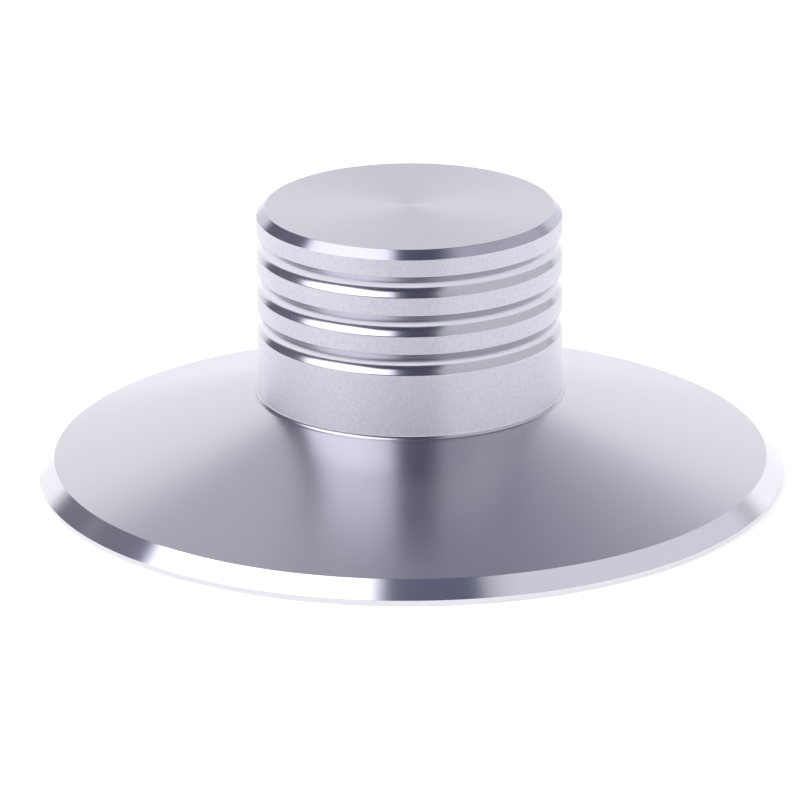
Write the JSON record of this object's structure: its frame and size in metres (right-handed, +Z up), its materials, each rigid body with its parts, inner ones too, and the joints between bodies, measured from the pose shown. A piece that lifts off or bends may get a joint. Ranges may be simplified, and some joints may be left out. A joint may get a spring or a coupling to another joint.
{
  "type": "record weight clamp",
  "caption": "Turned aluminium record weight: a wide shallow cone with a bright chamfered rim and a grooved cylindrical knob, bored underneath to sit over a turntable's spindle.",
  "frame": {"origin": "on the spindle axis, in the plane of the ring that rests on the record's label", "axes": "+Z up along the spindle axis, from the label towards the knob; X and Y are free, because the part is round"},
  "size_m": [0.08, 0.08, 0.03],
  "materials": {
    "aluminium": "satin turned, with bright-cut chamfers and grooves"
  },
  "bodies": {
    "root": {"record_weight": "aluminium"}
  },
  "joints": []
}
